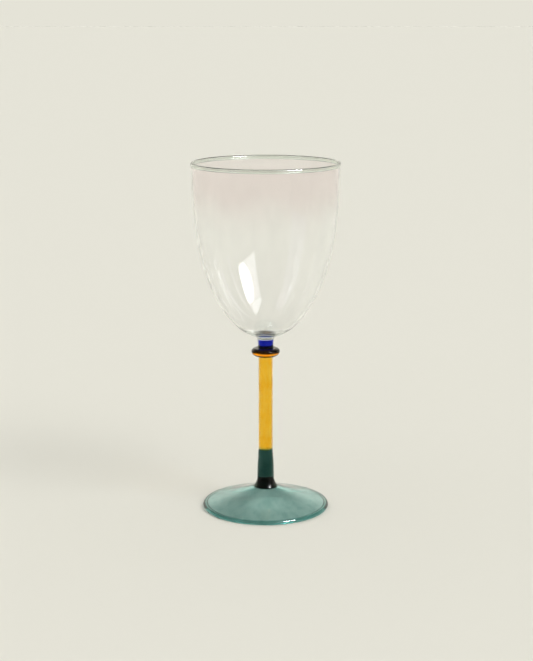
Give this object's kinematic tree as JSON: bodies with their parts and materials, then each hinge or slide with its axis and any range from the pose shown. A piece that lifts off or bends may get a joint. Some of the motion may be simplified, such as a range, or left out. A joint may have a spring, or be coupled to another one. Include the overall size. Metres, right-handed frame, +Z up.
{
  "type": "stemmed glass",
  "caption": "Stemmed drinking glass with a thin blown bowl, a stem of coloured glass rods sealed end to end, a knop and a hollow cone foot.",
  "frame": {"origin": "centre of the ring that the foot rests on, in the plane of the table", "axes": "+Z up along the axis of the stem; the glass is a solid of revolution, so +X and +Y are any two level directions"},
  "size_m": [0.0838, 0.0838, 0.2],
  "materials": {
    "clear_glass": "fire-polished clear glass",
    "blue_glass": "fire-polished transparent cobalt blue glass",
    "amber_glass": "fire-polished transparent amber glass",
    "dark_green_glass": "fire-polished transparent dark green glass",
    "black_glass": "fire-polished nearly black glass",
    "pale_green_glass": "fire-polished transparent pale green glass"
  },
  "bodies": {
    "root": {"foot": "pale_green_glass", "foot_collar": "black_glass", "green_stem": "dark_green_glass", "amber_stem": "amber_glass", "amber_knop": "amber_glass", "dark_knop": "black_glass", "blue_collar": "blue_glass", "bowl_button": "clear_glass", "bowl": "clear_glass"}
  },
  "joints": []
}
